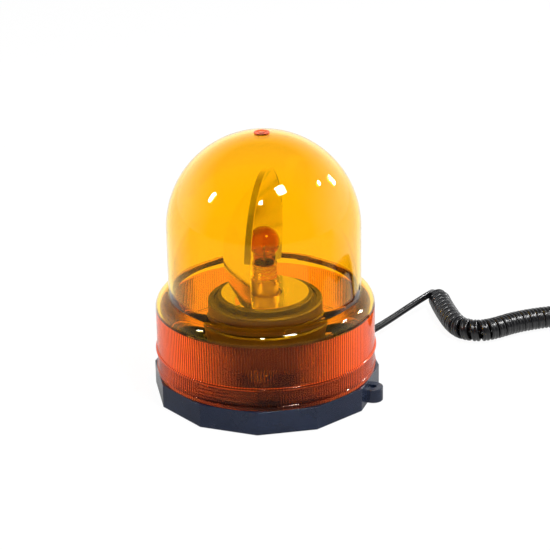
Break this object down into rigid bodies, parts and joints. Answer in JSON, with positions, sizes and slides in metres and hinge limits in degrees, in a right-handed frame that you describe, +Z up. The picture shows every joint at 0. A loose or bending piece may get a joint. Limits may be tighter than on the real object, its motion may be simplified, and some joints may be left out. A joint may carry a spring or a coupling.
{
  "type": "rotating beacon",
  "caption": "Amber rotating beacon on a magnet base: a motor turns a mirror dish round a bayonet bulb under a fluted lens, fed by a curly cord with a socket plug.",
  "frame": {"origin": "centre of the magnet pad's underside, on the axis of the lens and turntable", "axes": "+Z up the beacon's axis; -Y towards a corner of the twelve-sided base; the screw lug is on the +X side and the cord leaves between +X and +Y"},
  "size_m": [0.3139, 0.2929, 0.1607],
  "materials": {
    "amber_polycarbonate": "clear amber moulding, polished outside, fluted inside the skirt",
    "gloss_black_plastic": "gloss black moulded plastic",
    "grey_black_plastic": "dark moulded nylon, slight sheen",
    "brown_black_plastic": "dark phenolic-brown moulding, satin",
    "black_rubber": "soft matt rubber",
    "cord_jacket": "black flexible cord jacket, satin",
    "zinc_steel": "bright zinc-plated steel",
    "motor_steel": "drawn nickel-plated motor can",
    "ferrite": "ground ceramic ferrite, matt",
    "mirror_metal": "pressed aluminium, polished to a mirror",
    "turned_brass": "turned brass, light tarnish",
    "spring_steel": "spring wire",
    "nickel_brass": "nickel-plated brass",
    "bulb_cap_metal": "thin brass cap",
    "clear_glass": "clear blown glass",
    "tungsten": "dull tungsten wire",
    "phenolic": "brown phenolic insulator",
    "bronze": "oil-soaked sintered bronze",
    "acetal": "white acetal",
    "solder": "soft solder, dull"
  },
  "bodies": {
    "base": {"base_pan": "gloss_black_plastic", "magnet_cup": "zinc_steel", "ring_magnet": "ferrite", "magnet_pad": "black_rubber", "magnet_bolt": "zinc_steel", "magnet_washer": "zinc_steel", "magnet_nut": "zinc_steel", "lens_seal": "black_rubber", "housing_screws": "zinc_steel", "motor_housing": "brown_black_plastic", "motor_can": "motor_steel", "motor_end_cap": "grey_black_plastic", "motor_terminals": "nickel_brass", "motor_screws": "zinc_steel", "centre_post": "turned_brass", "thrust_washer": "acetal", "retaining_ring": "spring_steel", "bulb_holder": "nickel_brass", "holder_insulator": "phenolic", "contact_spring": "spring_steel", "bulb_cap": "bulb_cap_metal", "bulb_contact": "solder", "bulb_glass": "clear_glass", "filament": "tungsten", "filament_supports": "tungsten", "cord_grommet": "black_rubber", "cord_lead": "cord_jacket", "cord_coil": "cord_jacket", "cord_tail": "cord_jacket", "plug_strain_relief": "black_rubber", "plug_body": "grey_black_plastic", "plug_nose_ring": "grey_black_plastic", "plug_spring": "spring_steel", "plug_fuse": "clear_glass"},
    "lens": {"lens": "amber_polycarbonate"},
    "turntable": {"turntable": "brown_black_plastic", "hub_bush": "bronze", "reflector": "mirror_metal", "reflector_screws": "zinc_steel"},
    "motor_rotor": {"motor_shaft": "spring_steel", "motor_pinion": "acetal"},
    "bulb_contact_pin": {"contact_plunger": "turned_brass"},
    "plug_tip": {"plug_tip": "nickel_brass"},
    "plug_left_contact": {"plug_side_contact_left": "nickel_brass"},
    "plug_right_contact": {"plug_side_contact_right": "nickel_brass"}
  },
  "joints": [
    {"name": "lens_twist", "type": "hinge", "parent": "base", "child": "lens", "pos_m": [0, 0, 0.0153], "axis": [0, 0, 1], "range_deg": [0, 18]},
    {"name": "turntable_spin", "type": "hinge", "parent": "base", "child": "turntable", "pos_m": [0, 0, 0.05], "axis": [0, 0, 1], "continuous": true},
    {"name": "motor_spin", "type": "hinge", "parent": "base", "child": "motor_rotor", "pos_m": [-0.00663, 0.02473, 0.05], "axis": [0, 0, 1], "continuous": true},
    {"name": "bulb_contact_press", "type": "slide", "parent": "base", "child": "bulb_contact_pin", "axis": [0, 0, -1], "range_m": [0, 0.0015], "stiffness_N_per_m": 1800, "deforming": ["contact_spring"]},
    {"name": "plug_tip_press", "type": "slide", "parent": "base", "child": "plug_tip", "axis": [0.2419, 0.9703, 0], "range_m": [0, 0.003], "stiffness_N_per_m": 1500, "deforming": ["plug_spring"]},
    {"name": "plug_left_press", "type": "slide", "parent": "base", "child": "plug_left_contact", "axis": [-0.9703, 0.2419, 0], "range_m": [0, 0.0012], "stiffness_N_per_m": 3000},
    {"name": "plug_right_press", "type": "slide", "parent": "base", "child": "plug_right_contact", "axis": [0.9703, -0.2419, 0], "range_m": [0, 0.0012], "stiffness_N_per_m": 3000}
  ],
  "couplings": [
    {"joint": "motor_spin", "follows": "turntable_spin", "ratio": 6.3333}
  ]
}
